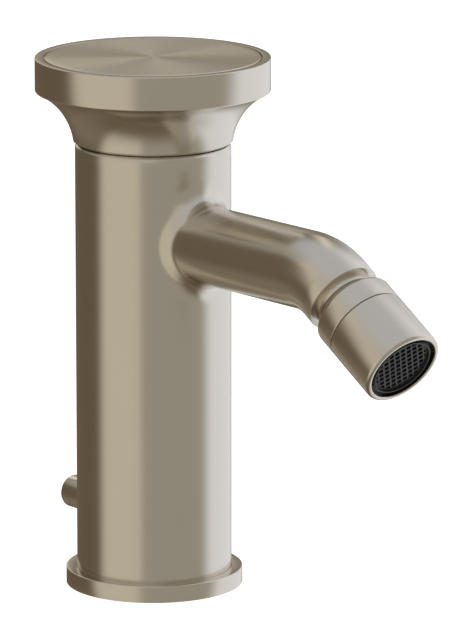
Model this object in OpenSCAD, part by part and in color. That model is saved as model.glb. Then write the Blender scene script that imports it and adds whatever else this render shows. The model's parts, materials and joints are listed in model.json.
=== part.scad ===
// Single-hole bidet mixer with a turning disc handle, a swivelling outlet and a rear lift knob.
// Z is up, the column stands on z = 0 and the spout points to -Y. Millimetres.

/* [Column] */
// Outer diameter of the column
column_d = 45; // [44:0.5:52]
// Height of the column's top edge
column_h = 129.8; // [127:0.1:145]
// Wall round the hose space
column_wall = 3; // [2.5:0.1:3.5]
// Chamfer round the column's top edge
column_chamfer = 0.7; // [0.3:0.1:1.2]
// Diameter of the cartridge chamber
chamber_d = 36.4; // [36.2:0.1:37]
// Height of the chamber's floor
chamber_floor = 86; // [84:0.5:88]
// Thickness of the block under the chamber
seat_block_t = 18; // [16:0.5:20]

/* [Foot] */
// Outer diameter of the foot ring
foot_d = 51.3; // [50:0.1:60]
// Height of the foot ring
foot_h = 4.9; // [3:0.1:6]
// Chamfer on the foot ring's top edge
foot_chamfer = 0.35; // [0.1:0.05:0.8]
// Width of the rubber gasket
gasket_w = 3.4; // [2:0.1:4]
// Thickness of the rubber gasket
gasket_t = 1; // [0.6:0.1:1.2]

/* [Water ports] */
// Thread core diameter of the two hose ports
inlet_core_d = 9; // [8:0.1:10]
// Depth of the hose threads
inlet_depth = 11; // [8:0.5:13]
// Distance between the hose ports
inlet_pitch = 17; // [15:0.5:19]
// How far the hose ports sit in front of the column's axis
inlet_front = 4; // [2:0.5:6]
// Diameter of the passage above each hose port
passage_d = 6; // [4:0.5:7]
// Thread core diameter of the fixing stud's hole
stud_core_d = 6.8; // [5:0.1:8]
// Depth of the fixing stud's hole
stud_depth = 13; // [8:0.5:15]
// How far the stud's hole sits behind the column's axis
stud_back = 5; // [4:0.5:6]

/* [Spout] */
// Outer diameter of the spout
spout_d = 22.4; // [21:0.1:23]
// Height of the spout's axis
spout_z = 103.9; // [102:0.1:106]
// From the column's axis to the corner of the bend
spout_reach = 75.1; // [62:0.1:110]
// Angle of the outlet below the horizontal
outlet_drop = 31.8; // [15:0.1:40]
// Radius of the bend's centre line
bend_r = 22.4; // [19:0.1:26]
// From the bend's corner to the end of the spout
spout_end = 10.5; // [10:0.1:14]
// Rolling-ball radius of the fillet at the column
root_fillet = 7; // [3:0.1:8]
// Diameter of the waterway in the spout
waterway_d = 13; // [10:0.5:15]
// Diameter of the spigot brazed into the column
spigot_d = 19; // [17:0.5:20]

/* [Swivel outlet] */
// Diameter of the ball
ball_d = 21.5; // [21.3:0.1:21.6]
// From the bend's corner to the ball's centre
ball_at = 18; // [17.9:0.1:18.4]
// Diameter of the plain skirt above the ball
skirt_d = 19.2; // [18.6:0.1:21.4]
// Height of the plain skirt
skirt_h = 0.8; // [0.6:0.1:2.1]
// Diameter of the bore through the ball
ball_bore_d = 9.6; // [8:0.1:10]
// Thread diameter of the ball's shank
shank_d = 18; // [16:0.1:18]
// Length of the shank
shank_l = 7.5; // [5:0.1:8]
// Outer diameter of the outlet
outlet_d = 24; // [24:0.1:25]
// From the bend's corner to the collar's back face
collar_at = 14.7; // [14.6:0.1:14.9]
// Rounding of the collar's back edge
collar_round = 1.2; // [0.6:0.1:1.2]
// From the bend's corner to the seam between collar and shell
seam_at = 22.2; // [21.5:0.1:22.8]
// From the bend's corner to the outlet's rim
mouth_at = 40.3; // [39:0.1:46]
// Diameter of the opening in the rim
mouth_d = 21.2; // [20.8:0.1:21.6]
// Angle between the ball joint's limits and its middle
swivel_angle = 7.5; // [3:0.5:7.5]

/* [Aerator] */
// Outer diameter of the aerator body
aerator_d = 20.8; // [20:0.1:20.8]
// Height of the aerator body
aerator_h = 8; // [7.4:0.1:8.1]
// How far the aerator sits back from the rim
aerator_recess = 0.5; // [0.2:0.1:1.5]
// Diameter of the crest round the grid
crest_d = 18.8; // [18:0.1:19.4]
// Spacing of the grid's ribs
grid_pitch = 1.85; // [1.6:0.05:3]
// Width of a grid rib
grid_rib = 0.5; // [0.3:0.05:0.8]

/* [Handle] */
// Outer diameter of the handle's disc
disc_d = 67.8; // [66:0.1:80]
// Height of the handle's top face
handle_top = 155; // [154:0.1:162]
// Diameter of the handle's neck
neck_d = 45.6; // [45.5:0.1:52]
// Radius of the flare under the disc
flare_r = 19.1; // [14:0.1:20]
// Rounding of the disc's lower edge
disc_round = 0.5; // [0.2:0.1:1]
// Gap between the column and the handle
shadow_gap = 0.3; // [0.2:0.05:0.8]
// Chamfer round the handle's lower edge
neck_chamfer = 0.85; // [0.4:0.05:1.2]
// Diameter of the top plate
plate_d = 62; // [58:0.1:63.4]
// Thickness of the top plate
plate_t = 1.6; // [1.2:0.1:2.5]
// Gap round the top plate
plate_gap = 0.4; // [0.2:0.05:0.8]
// Angle that the handle turns through
handle_angle = 100; // [60:5:120]

/* [Cartridge] */
// Outer diameter of the cartridge housing
housing_d = 34.8; // [34:0.1:35]
// Diameter of the ceramic discs
ceramic_d = 26; // [22:0.5:27]
// Thickness of the fixed ceramic disc
fixed_disc_t = 4; // [3:0.5:5]
// Thickness of the moving ceramic disc
moving_disc_t = 3.5; // [3:0.5:5]
// Diameter of the stem
stem_d = 9; // [8:0.1:10]
// Width of the stem's square end
stem_square = 6; // [5:0.1:6.2]

/* [Lift knob] */
// Diameter of the knob
knob_d = 9.6; // [8:0.1:12]
// From the column's axis to the knob's end
knob_reach = 38.1; // [35:0.1:50]
// Height of the knob's axis when down
knob_z = 19.6; // [17:0.1:24]
// How far the knob lifts
lift = 20; // [10:1:20]
// Diameter of the stem that carries the knob
knob_stem_d = 5; // [4:0.1:6]
// Diameter of the lift rod
rod_d = 5; // [4:0.1:5.2]
// From the column's axis to the lift rod
rod_back = 14.6; // [14.4:0.1:15]

/* [Hidden] */
$fn = 96;

// Colours
nickel = "#a89c8a";
brass = "#c9a95a";
rubber = "#2b2b2b";
plastic = "#3a3b3d";
white_plastic = "#e6e3dc";
ceramic = "#efece4";
steel = "#b9bbbd";

// Fits: a running fit, a thread or pressed fit, and an open gap, each on the radius
run = 0.08;
fit = 0.05;
gap = 0.3;
film = 0.05;
overrun = 1;
weld = 0.2;
weld_step = 0.02;
seal_slack = 0.02;

// Column and foot
column_r = column_d / 2;
cavity_r = column_r - column_wall;
chamber_r = chamber_d / 2;
block_bottom = chamber_floor - seat_block_t;
nut_thread_step = 0.8;
nut_thread_r = chamber_r + nut_thread_step;
nut_h = 8.8;
glide_t = 1.15;
glide_sink = 1;
nut_seat = column_h - nut_h - glide_sink;
foot_web_t = 0.8;
foot_lip_t = gasket_t + foot_web_t;
foot_r = foot_d / 2;
gasket_inset = 1.3;
gasket_r = foot_r - gasket_inset;

// Spout and outlet, measured along the outlet's axis from the corner of the bend
spout_r = spout_d / 2;
spout_sink = 3;
spigot_collar_l = 1.5;
bend_leg = bend_r * tan(outlet_drop / 2);
waterway_r = waterway_d / 2;
spigot_r = spigot_d / 2;
spigot_end = chamber_r + gap;
fillet_steps = 64;
fillet_arc = 10;
fillet_sink = 0.06;
fillet_core = 4;
fillet_core_share = 0.94;
ball_r = ball_d / 2;
ball_bore_r = ball_bore_d / 2;
shank_r = shank_d / 2;
shank_seal_in = 2.2;
nipple_seal_at = spout_end - shank_l + shank_seal_in;
skirt_r = skirt_d / 2;
ball_end = 8.9;
outlet_r = outlet_d / 2;
ball_gap = 0.1;
ball_room = ball_r + ball_gap;
seat_t = 0.7;
seat_outer_r = ball_r + run + seat_t;
cup_r = seat_outer_r + run;
seat_top_angle = 45;
seat_low_angle = 34;
seat_spare_angle = 3;
cup_floor = ball_at + cup_r * cos(seat_low_angle - swivel_angle - seat_spare_angle);
cup_bore_r = 4.3;
collar_spigot_r = 11.35;
collar_spigot_l = 2.3;
collar_spigot_end = seam_at + collar_spigot_l;
seam_break = 0.1;
seam_w = 0.2;
seal_minor = 0.65;
seal_path = ball_r + run + seal_minor;
seal_down = collar_spigot_end + ball_gap - seal_minor - ball_at;
mouth_r = mouth_d / 2;
mouth_chamfer = 0.6;
mouth_break = 0.15;
aerator_r = aerator_d / 2;
aerator_front = mouth_at - aerator_recess;
aerator_back = aerator_front - aerator_h;
washer_t = 1;
washer_lap = 0.6;
aerator_shelf = aerator_back - washer_t;
crest_r = crest_d / 2;
crest_w = 0.6;
grid_r = crest_r - crest_w;
grid_t = 1;
grid_back = 0.7;
grid_z = aerator_front - grid_back - grid_t;
grid_turn = 28;
crest_h = 1.6;
crest_low = aerator_front - crest_h;
crest_round = 0.25;
grid_rim = 0.6;
jet_plate_step = 1;
jet_plate_r = grid_r - jet_plate_step;
jet_plate_t = 1.2;
jet_plate_in = 1.2;
jet_plate_z = aerator_back + jet_plate_in;
aerator_throat_r = 6.8;
regulator_hole_r = 0.8;
regulator_ring_r = 3;
regulator_r = 6.2;
regulator_t = 1;
jet_r = 0.6;
jet_ring_r = 5.6;
jet_count = 10;

// Handle
handle_z = column_h + shadow_gap;
disc_r = disc_d / 2;
neck_r = neck_d / 2;
flare_sink = 2;
flare_c = [neck_r + flare_r, handle_z - flare_sink];
flare_low = handle_z + neck_chamfer * 0.9;
flare_a0 = 180 - asin((flare_low - flare_c[1]) / flare_r);
flare_a1 = 180 - acos((flare_c[0] - disc_r + disc_round) / flare_r);
flare_end = flare_c[1] + flare_r * sin(flare_a1);
plate_r = plate_d / 2;
plate_seat = handle_top - plate_t;
rim_r = plate_r + plate_gap;
edge_break = 0.3;
plate_edge = 0.15;
hub_room_h = 8;
hub_floor = handle_top - hub_room_h;
hub_boss_wall = 2.5;
hub_room_r = 27;
plate_spigot_r = 28.6;
plate_spigot_h = 2.2;
plate_floor_gap = 0.2;
plate_ring_minor = 0.8;
plate_spigot_gap = 0.9;
plate_spigot_wall = 2.6;
plate_ring_deep = 1.2;
plate_ring_z = plate_seat - plate_spigot_h / 2;
hub_seat_r = plate_spigot_r + plate_spigot_gap;
hub_seat_z = plate_seat - plate_spigot_h - plate_floor_gap;
plate_weld = 0.5;

// Cartridge, upwards from the chamber's floor
housing_r = housing_d / 2;
base_t = 4;
disc_z = chamber_floor + base_t;
ceramic_r = ceramic_d / 2;
disc_seal_w = 0.95;
moving_inset = 0.5;
housing_room = 1;
pocket_r = 8;
pocket_off = 2;
cross_deep = 1.2;
moving_z = disc_z + fixed_disc_t + film;
carrier_z = moving_z + moving_disc_t;
carrier_t = 4;
stem_z = carrier_z + carrier_t;
socket_floor = 1;
key_rise = 0.5;
stem_flange_t = 2.5;
stem_flange_r = 9;
housing_roof = stem_z + stem_flange_t + film;
flange_t = 7;
flange_z = nut_seat - flange_t;
flange_gap = 0.1;
flange_r = chamber_r - flange_gap;
housing_neck_r = 8;
housing_neck_h = 6;
housing_seal_z = flange_z + flange_t / 2;
stem_ring_gap = 3.5;
stem_ring_z = [housing_roof + stem_ring_gap, housing_roof + 2 * stem_ring_gap];
housing_top = nut_seat + housing_neck_h;
stem_r = stem_d / 2;
stem_rise = 0.5;
stem_shoulder = housing_top + stem_rise;
stem_head_h = 12;
stem_top = stem_shoulder + stem_head_h;
port_r = passage_d / 2;
port_seal_w = 1.6;
port_seal_r = port_r + port_seal_w;
port_lip = 0.2;
port_seal_t = 1.2;
outlet_port_r = 3.6;
outlet_port_back = 7.5;
o_minor = 0.9;
stem_o_minor = 0.8;
ports = [for (side = [-1, 1]) [side * inlet_pitch / 2, -inlet_front]];
notch_w = 3;
notch_deep = 2;
nut_bore_gap = 0.4;
nut_bore_r = housing_neck_r + nut_bore_gap;
nut_slot_w = 4;
nut_slot_deep = 2.5;
glide_step = 1.5;
glide_r = nut_thread_r + glide_step;
glide_w = 3.5;
neck_wall = 4;
handle_hollow_r = neck_r - neck_wall;
handle_hollow_h = 9;
stop_r = 6.8;
stop_pin_r = 1;
stop_h = 1.4;
stop_play = asin((stop_pin_r + gap) / stop_r);

// Handle's drive
adapter_r = 7.5;
adapter_z = stem_shoulder + gap;
hub_web_t = 1;
adapter_top = hub_floor - hub_web_t;
screw_r = 2;
screw_bite = 0.2;
screw_tip = 1;
socket_in = 0.6;
screw_head_r = 3.6;
screw_head_h = 2.4;
screw_deep = 8;
socket_r = 1.495;

// Lift rod and knob
knob_r = knob_d / 2;
knob_start = column_r + gap;
knob_round = 0.4;
knob_break = 0.15;
knob_stem_r = knob_stem_d / 2;
liner_t = 0.8;
liner_in = 0.15;
liner_r = knob_stem_r + gap;
slot_r = liner_r + liner_t;
slot_low = knob_z;
slot_high = knob_z + lift;
rod_r = rod_d / 2;
rod_bottom = 1;
guide_r = rod_r + run;
guide_wall = 0.9;
guide_drop = 8;
guide_bottom = block_bottom - guide_drop;
guide_flange_t = 1.2;
guide_flange_w = 1;
rod_grip = 4;
rod_top = guide_bottom + rod_grip;
guide_spare = 1;
guide_top = rod_top + lift + guide_spare;
clamp_w = 8;
clamp_h = 8;
clamp_bite = 4.4;
clamp_gap = 1.4;
clamp_front = rod_back - clamp_bite;
clamp_back = cavity_r - clamp_gap;
grub_r = 1.5;
grub_in = 0.2;
grub_seat = 0.4;
grub_socket_r = 0.9;
stub_r = 2;
stub_l = 3.5;
stub_step = 0.65;
stub_spare = 0.5;
rod_thread_r = 1.65;
rod_thread_deep = 10;

function arc_points(c, r, a0, a1, n) =
    [for (i = [0:n]) let (a = a0 + (a1 - a0) * i / n) c + r * [cos(a), sin(a)]];

// A ring with square edges
module ring(outer, inner, low, high) {
    difference() {
        translate([0, 0, low]) cylinder(r = outer, h = high - low);
        translate([0, 0, low - overrun]) cylinder(r = inner, h = high - low + 2 * overrun);
    }
}

// A rod between two heights
module rod(r, low, high) {
    translate([0, 0, low]) cylinder(r = r, h = high - low);
}

// A round rubber ring
module o_ring(path_r, minor_r, z) {
    translate([0, 0, z]) rotate_extrude() translate([path_r, 0]) circle(r = minor_r, $fn = 32);
}

// A rubber ring that touches a bore, and the groove that holds it on the piece inside that bore
module bore_seal(bore_r, minor_r, z) {
    o_ring(bore_r - minor_r - seal_slack, minor_r, z);
}
module seal_groove(bore_r, minor_r, z) {
    ring(bore_r + overrun, bore_r - 2 * minor_r - 3 * seal_slack, z - minor_r - fit, z + minor_r + fit);
}

// Puts its children's Z along the spout, from the column's axis
module along_spout() {
    translate([0, 0, spout_z]) rotate([90, 0, 0]) children();
}

// Puts its children's Z along the outlet, from the corner of the bend
module along_outlet() {
    translate([0, -spout_reach, spout_z]) rotate([90 + outlet_drop, 0, 0]) children();
}

// Puts its children's Z along the knob, from the column's axis
module along_knob(z) {
    translate([0, 0, z]) rotate([-90, 0, 0]) children();
}

// A round bar that follows the spout: straight, then bent
module spout_bar(r, from) {
    along_spout() rod(r, from, spout_reach - bend_leg);
    translate([0, bend_leg - spout_reach, spout_z - bend_r]) rotate([0, -90, 180])
        rotate_extrude(angle = outlet_drop) translate([bend_r, 0]) circle(r = r);
}

// The fillet where the spout meets the column, as a ball rolled round the joint would leave it
function fillet_centre(a) =
    let (x = (spout_r + root_fillet) * sin(a), reach = column_r + root_fillet)
    [x, -sqrt(reach * reach - x * x), spout_z + (spout_r + root_fillet) * cos(a)];
function on_column(c) = let (k = (column_r - fillet_sink) / (column_r + root_fillet)) [c[0] * k, c[1] * k, c[2]];
function on_spout(c, a) = [(spout_r - fillet_sink) * sin(a), c[1], spout_z + (spout_r - fillet_sink) * cos(a)];
function turn_between(u, v, t) =
    let (w = acos(u * v)) (sin((1 - t) * w) * u + sin(t * w) * v) / sin(w);
function unit(v) = v / norm(v);
function fillet_section(a) =
    let (c = fillet_centre(a), p = on_column(c), q = on_spout(c, a), u = unit(p - c), v = unit(q - c),
        inner_r = spout_r - root_fillet / 2, inner_y = fillet_core - column_r)
    concat(
        [p],
        [for (i = [1:fillet_arc - 1]) c + root_fillet * turn_between(u, v, i / fillet_arc)],
        [q],
        [[inner_r * sin(a), c[1], spout_z + inner_r * cos(a)],
         [inner_r * sin(a), inner_y, spout_z + inner_r * cos(a)],
         [p[0] * fillet_core_share, p[1] * fillet_core_share, p[2]]]);
module root_fillet_solid() {
    sections = [for (i = [0:fillet_steps - 1]) fillet_section(360 * i / fillet_steps)];
    per = len(sections[0]);
    points = [for (s = sections, p = s) p];
    faces = [for (i = [0:fillet_steps - 1], j = [0:per - 1])
        let (n = (i + 1) % fillet_steps, m = (j + 1) % per)
        each [[i * per + j, n * per + m, i * per + m], [i * per + j, n * per + j, n * per + m]]];
    polyhedron(points = points, faces = faces);
}

// Cast column with the hose space below, the seat block and the cartridge chamber above
module column() {
    color(nickel) difference() {
        union() {
            rod(column_r, foot_lip_t, column_h - column_chamfer);
            translate([0, 0, column_h - column_chamfer])
                cylinder(r1 = column_r, r2 = column_r - column_chamfer * 0.8, h = column_chamfer);
        }
        rod(cavity_r, 0, block_bottom);
        rod(chamber_r, chamber_floor, column_h + overrun);
        rod(nut_thread_r, nut_seat, column_h + overrun);
        rod(glide_r + fit, nut_seat + nut_h, column_h + overrun);
        for (p = ports) translate(p) {
            rod(inlet_core_d / 2, block_bottom - overrun, block_bottom + inlet_depth);
            rod(port_r, block_bottom, chamber_floor + overrun);
        }
        translate([0, stud_back, 0]) rod(stud_core_d / 2, block_bottom - overrun, block_bottom + stud_depth);
        translate([0, rod_back, 0])
            rod(guide_r + guide_wall + fit, block_bottom - overrun, guide_top);
        along_spout() rod(spigot_r + fit, 0, column_r + overrun);
        slot_cut(slot_r, column_r + overrun);
    }
}

// The upright slot in the rear wall
module slot_cut(r, far) {
    along_knob(slot_low) rod(r, cavity_r - overrun, far);
    along_knob(slot_high) rod(r, cavity_r - overrun, far);
    translate([-r, cavity_r - overrun, slot_low]) cube([2 * r, far - cavity_r + overrun, slot_high - slot_low]);
}

// Loose trim ring that the column stands in
module foot_ring() {
    color(nickel) difference() {
        union() {
            rod(foot_r, 0, foot_h - foot_chamfer);
            translate([0, 0, foot_h - foot_chamfer])
                cylinder(r1 = foot_r, r2 = foot_r - foot_chamfer, h = foot_chamfer);
        }
        rod(column_r + fit, foot_lip_t, foot_h + overrun);
        rod(cavity_r, -overrun, foot_h);
        ring(gasket_r, gasket_r - gasket_w, -overrun, gasket_t);
    }
}

// Rubber gasket in the foot ring's groove
module foot_gasket() {
    color(rubber) ring(gasket_r - fit, gasket_r - gasket_w + fit, 0, gasket_t);
}

// Spout with its brazed spigot, fillet, waterway and end thread
module spout() {
    color(nickel) difference() {
        union() {
            difference() {
                union() {
                    spout_bar(spout_r, column_r - spout_sink);
                    along_outlet() rod(spout_r + weld_step, bend_leg - weld, spout_end);
                    root_fillet_solid();
                }
                rod(column_r, 0, column_h);
            }
            along_spout() rod(spigot_r, spigot_end, column_r + spigot_collar_l);
        }
        spout_bar(waterway_r, 0);
        along_outlet() rod(shank_r + fit, spout_end - shank_l, spout_end + overrun);
    }
}

// Threaded nipple that ends in the ball
module ball_nipple() {
    color(brass) along_outlet() difference() {
        union() {
            rod(shank_r, spout_end - shank_l, spout_end);
            rod(skirt_r, spout_end, spout_end + skirt_h);
            intersection() {
                translate([0, 0, ball_at]) sphere(r = ball_r);
                rod(ball_r + overrun, spout_end + skirt_h / 2, ball_at + ball_end);
            }
        }
        rod(ball_bore_r, 0, ball_at + ball_end + overrun);
        seal_groove(shank_r + fit, o_minor, nipple_seal_at);
    }
}

// Seal on the nipple's shank
module nipple_o_ring() {
    color(rubber) along_outlet() bore_seal(shank_r + fit, o_minor, nipple_seal_at);
}

// Floating ring between the ball and the outlet, round on both sides
module ball_seat_ring() {
    low = seat_outer_r * cos(seat_top_angle);
    color(white_plastic) along_outlet() translate([0, 0, ball_at]) difference() {
        sphere(r = seat_outer_r);
        sphere(r = ball_r + run);
        rod(seat_outer_r + overrun, -seat_outer_r - overrun, low);
        rod(seat_outer_r * sin(seat_low_angle), 0, seat_outer_r + overrun);
    }
}

// Collar that holds the ball from above
module swivel_collar() {
    back = collar_at;
    color(nickel) along_outlet() difference() {
        union() {
            rotate_extrude() polygon(concat(
                [[0, back]],
                arc_points([outlet_r - collar_round, back + collar_round], collar_round, -90, 0, 8),
                [[outlet_r, seam_at - seam_w], [0, seam_at - seam_w]]));
            rod(collar_spigot_r, seam_at - 2 * seam_w, collar_spigot_end);
        }
        translate([0, 0, ball_at]) sphere(r = ball_room);
        rod(ball_room, ball_at, collar_spigot_end + overrun);
    }
}

// Seal that rubs on the ball
module ball_seal() {
    path = sqrt(seal_path * seal_path - seal_down * seal_down);
    color(rubber) along_outlet() o_ring(path, seal_minor, ball_at + seal_down);
}

// Outlet shell with the cup for the seat ring and the chamber for the aerator
module outlet_shell() {
    color(nickel) along_outlet() difference() {
        rotate_extrude() polygon([
            [0, seam_at],
            [outlet_r - seam_break, seam_at],
            [outlet_r, seam_at + seam_break],
            [outlet_r, mouth_at - mouth_chamfer],
            [outlet_r - mouth_chamfer * 0.3, mouth_at - mouth_chamfer * 0.3],
            [outlet_r - mouth_chamfer, mouth_at],
            [0, mouth_at]]);
        rod(collar_spigot_r + fit, seam_at - overrun, collar_spigot_end + ball_gap);
        translate([0, 0, ball_at]) sphere(r = cup_r);
        rod(cup_bore_r, cup_floor - overrun, mouth_at);
        rod(regulator_r + fit, aerator_shelf - regulator_t, mouth_at);
        rod(mouth_r - mouth_break, aerator_shelf, mouth_at + overrun);
        translate([0, 0, mouth_at - mouth_break])
            cylinder(r1 = mouth_r - mouth_break, r2 = mouth_r + mouth_break, h = 2 * mouth_break);
    }
}

// Small disc that limits the flow
module flow_regulator() {
    color(white_plastic) along_outlet() difference() {
        rod(regulator_r, aerator_shelf - regulator_t, aerator_shelf);
        for (i = [0:5]) rotate(60 * i) translate([regulator_ring_r, 0, 0])
            rod(regulator_hole_r, aerator_shelf - regulator_t - overrun, mouth_at);
    }
}

// Flat washer above the aerator
module aerator_washer() {
    color(rubber) along_outlet() ring(aerator_r, regulator_r - washer_lap, aerator_shelf, aerator_back);
}

// Black aerator body with the crest that shows in the outlet
module aerator_body() {
    color(plastic) along_outlet() difference() {
        union() {
            rod(aerator_r, aerator_back, crest_low);
            rod(crest_r - crest_round, crest_low - overrun, aerator_front);
            rod(crest_r, crest_low - overrun, aerator_front - crest_round);
        }
        rod(grid_r, grid_z, aerator_front + overrun);
        rod(jet_plate_r + fit, jet_plate_z, aerator_front);
        rod(aerator_throat_r, aerator_back - overrun, aerator_front);
    }
}

// Plate with the ring of jets, low in the aerator body
module aerator_jet_plate() {
    color(white_plastic) along_outlet() difference() {
        rod(jet_plate_r, jet_plate_z, jet_plate_z + jet_plate_t);
        for (i = [0:jet_count - 1]) rotate(360 / jet_count * i) translate([jet_ring_r, 0, 0])
            rod(jet_r, aerator_back, mouth_at);
    }
}

// Square-mesh outlet grid
module aerator_grid() {
    half = floor(grid_r / grid_pitch);
    color(plastic) along_outlet() rotate(grid_turn) intersection() {
        rod(grid_r - fit, grid_z, grid_z + grid_t);
        union() {
            ring(grid_r, grid_r - grid_rim, grid_z - overrun, grid_z + grid_t + overrun);
            for (i = [-half:half]) {
                translate([-grid_r, i * grid_pitch - grid_rib / 2, grid_z])
                    cube([2 * grid_r, grid_rib, grid_t]);
                translate([i * grid_pitch - grid_rib / 2, -grid_r, grid_z])
                    cube([grid_rib, 2 * grid_r, grid_t]);
            }
        }
    }
}

// Lower end of the cartridge, with the ports that face the seat block
module cartridge_base() {
    color(white_plastic) difference() {
        rod(housing_r, chamber_floor, disc_z);
        for (p = ports) translate(p) {
            rod(port_r, 0, disc_z + overrun);
            rod(port_seal_r + fit, 0, chamber_floor + port_seal_t);
        }
        translate([0, outlet_port_back, 0]) rod(outlet_port_r, chamber_floor + cross_deep, disc_z + overrun);
        translate([-outlet_port_r, outlet_port_back, chamber_floor + cross_deep])
            cube([2 * outlet_port_r, housing_r, base_t / 2]);
    }
}

// Two rubber rings under the cartridge
module port_seals() {
    color(rubber) for (p = ports) translate(p)
        ring(port_seal_r, port_r + port_lip, chamber_floor, chamber_floor + port_seal_t);
}

// Fixed ceramic disc
module fixed_disc() {
    color(ceramic) difference() {
        rod(ceramic_r, disc_z, disc_z + fixed_disc_t);
        for (p = ports) translate(p) rod(port_r, 0, disc_z + fixed_disc_t + overrun);
        translate([0, outlet_port_back, 0]) rod(outlet_port_r, 0, disc_z + fixed_disc_t + overrun);
    }
}

// Rubber ring round the fixed disc
module disc_seal() {
    color(rubber) ring(ceramic_r + disc_seal_w, ceramic_r + fit, disc_z, disc_z + fixed_disc_t / 2);
}

// Cartridge housing with its sealing flange and neck
module cartridge_housing() {
    color(white_plastic) difference() {
        union() {
            rod(housing_r, disc_z, flange_z + overrun);
            rod(flange_r, flange_z, nut_seat);
            rod(housing_neck_r, nut_seat - overrun, housing_top);
        }
        rod(ceramic_r + housing_room, 0, housing_roof);
        rod(stem_r + run, 0, housing_top + overrun);
        seal_groove(chamber_r, o_minor, housing_seal_z);
        translate([0, 0, housing_roof - film]) rotate([0, 0, -stop_play])
            rotate_extrude(angle = handle_angle + 2 * stop_play)
                translate([stop_r - stop_pin_r - run, 0]) square([2 * (stop_pin_r + run), stop_h + gap]);
    }
}

// Seal between the housing and the chamber
module housing_o_ring() {
    color(rubber) bore_seal(chamber_r, o_minor, housing_seal_z);
}

// Moving ceramic disc with a mixing pocket and two drive notches
module moving_disc() {
    color(ceramic) difference() {
        rod(ceramic_r - moving_inset, moving_z, carrier_z);
        for (side = [-1, 1]) drive_notch(side, notch_w, notch_deep, moving_z - overrun, carrier_z + overrun);
        translate([0, pocket_off, 0]) rod(pocket_r, moving_z - overrun, moving_z + moving_disc_t / 2);
    }
}

module drive_notch(side, w, deep, low, high) {
    translate([side > 0 ? ceramic_r - moving_inset - deep : -ceramic_r - overrun, -w / 2, low])
        cube([deep + moving_inset + overrun, w, high - low]);
}

// Plastic carrier that turns the moving disc
module disc_carrier() {
    color(plastic) difference() {
        union() {
            rod(ceramic_r - moving_inset, carrier_z, stem_z);
            intersection() {
                rod(ceramic_r - moving_inset, moving_z + key_rise, stem_z);
                for (side = [-1, 1])
                    drive_notch(side, notch_w - 2 * fit, notch_deep - fit, moving_z + key_rise, carrier_z + overrun);
            }
        }
        translate([-stem_square / 2 - fit, -stem_square / 2 - fit, carrier_z + socket_floor])
            cube([stem_square + 2 * fit, stem_square + 2 * fit, carrier_t]);
    }
}

// Stem with a square foot, a flange and a square head
module cartridge_stem() {
    color(brass) difference() {
        union() {
            translate([-stem_square / 2, -stem_square / 2, carrier_z + socket_floor])
                cube([stem_square, stem_square, carrier_t]);
            rod(stem_flange_r, stem_z, stem_z + stem_flange_t);
            rod(stem_r, stem_z, stem_shoulder);
            translate([stop_r, 0, 0]) rod(stop_pin_r, stem_z, stem_z + stem_flange_t + stop_h);
            translate([-stem_square / 2, -stem_square / 2, stem_shoulder - overrun])
                cube([stem_square, stem_square, stem_top - stem_shoulder + overrun]);
        }
        for (z = stem_ring_z) seal_groove(stem_r + run - film, stem_o_minor, z);
        rod(screw_r - screw_bite, stem_top - screw_deep, stem_top + overrun);
    }
}

// Two seals on the stem
module stem_o_rings() {
    color(rubber) for (z = stem_ring_z) bore_seal(stem_r + run - film, stem_o_minor, z);
}

// Brass nut that holds the cartridge down, with slots for a spanner
module cartridge_nut() {
    color(brass) difference() {
        ring(nut_thread_r - fit, nut_bore_r, nut_seat, nut_seat + nut_h);
        for (a = [0, 90]) rotate(a) translate([-column_r, -nut_slot_w / 2, nut_seat + nut_h - nut_slot_deep])
            cube([column_d, nut_slot_w, nut_slot_deep + overrun]);
    }
}

// Plastic ring that steadies the handle
module glide_ring() {
    color(white_plastic) ring(glide_r, glide_r - glide_w, nut_seat + nut_h, nut_seat + nut_h + glide_t);
}

// Handle casting: neck, flare and disc
module handle_hub() {
    color(nickel) difference() {
        rotate_extrude() polygon(concat(
            [[0, handle_z], [neck_r - neck_chamfer, handle_z]],
            arc_points(flare_c, flare_r, flare_a0, flare_a1, 18),
            arc_points([disc_r - disc_round, flare_end + disc_round], disc_round, -60, 0, 4),
            [[disc_r, handle_top - edge_break], [disc_r - edge_break, handle_top], [0, handle_top]]));
        rod(rim_r, plate_seat, handle_top + overrun);
        rod(hub_seat_r, hub_seat_z, handle_top);
        rod(hub_room_r, hub_floor, handle_top);
        rod(adapter_r, handle_z - overrun, adapter_top);
        rod(screw_r + screw_bite, handle_z, handle_top);
        ring(handle_hollow_r, adapter_r + hub_boss_wall, handle_z - overrun, handle_z + handle_hollow_h);
    }
}

// Splined sleeve between the stem and the handle
module stem_adapter() {
    side = stem_square + 2 * fit;
    color(white_plastic) difference() {
        rod(adapter_r - fit, adapter_z, adapter_top);
        translate([-side / 2, -side / 2, adapter_z - overrun])
            cube([side, side, stem_top + film - adapter_z + overrun + fit]);
        rod(screw_r + screw_bite, adapter_z, adapter_top + overrun);
    }
}

// Screw that holds the handle on the stem
module handle_screw() {
    color(steel) difference() {
        union() {
            rod(screw_r - screw_bite - fit, stem_top - screw_deep + screw_tip, hub_floor + weld);
            rod(screw_head_r, hub_floor, hub_floor + screw_head_h);
        }
        translate([0, 0, hub_floor + socket_in]) cylinder(r = socket_r, h = screw_head_h, $fn = 6);
    }
}

// Round top plate on its spigot
module top_plate() {
    color(nickel) difference() {
        union() {
            rod(plate_r, plate_seat, handle_top - plate_edge);
            translate([0, 0, handle_top - plate_edge])
                cylinder(r1 = plate_r, r2 = plate_r - plate_edge, h = plate_edge);
            rod(plate_spigot_r, plate_seat - plate_spigot_h, plate_seat + plate_weld);
        }
        rod(plate_spigot_r - plate_spigot_wall, plate_seat - plate_spigot_h - overrun, plate_seat);
        ring(plate_spigot_r + overrun, plate_spigot_r - plate_ring_deep, plate_ring_z - plate_ring_minor,
            plate_ring_z + plate_ring_minor);
    }
}

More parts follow.
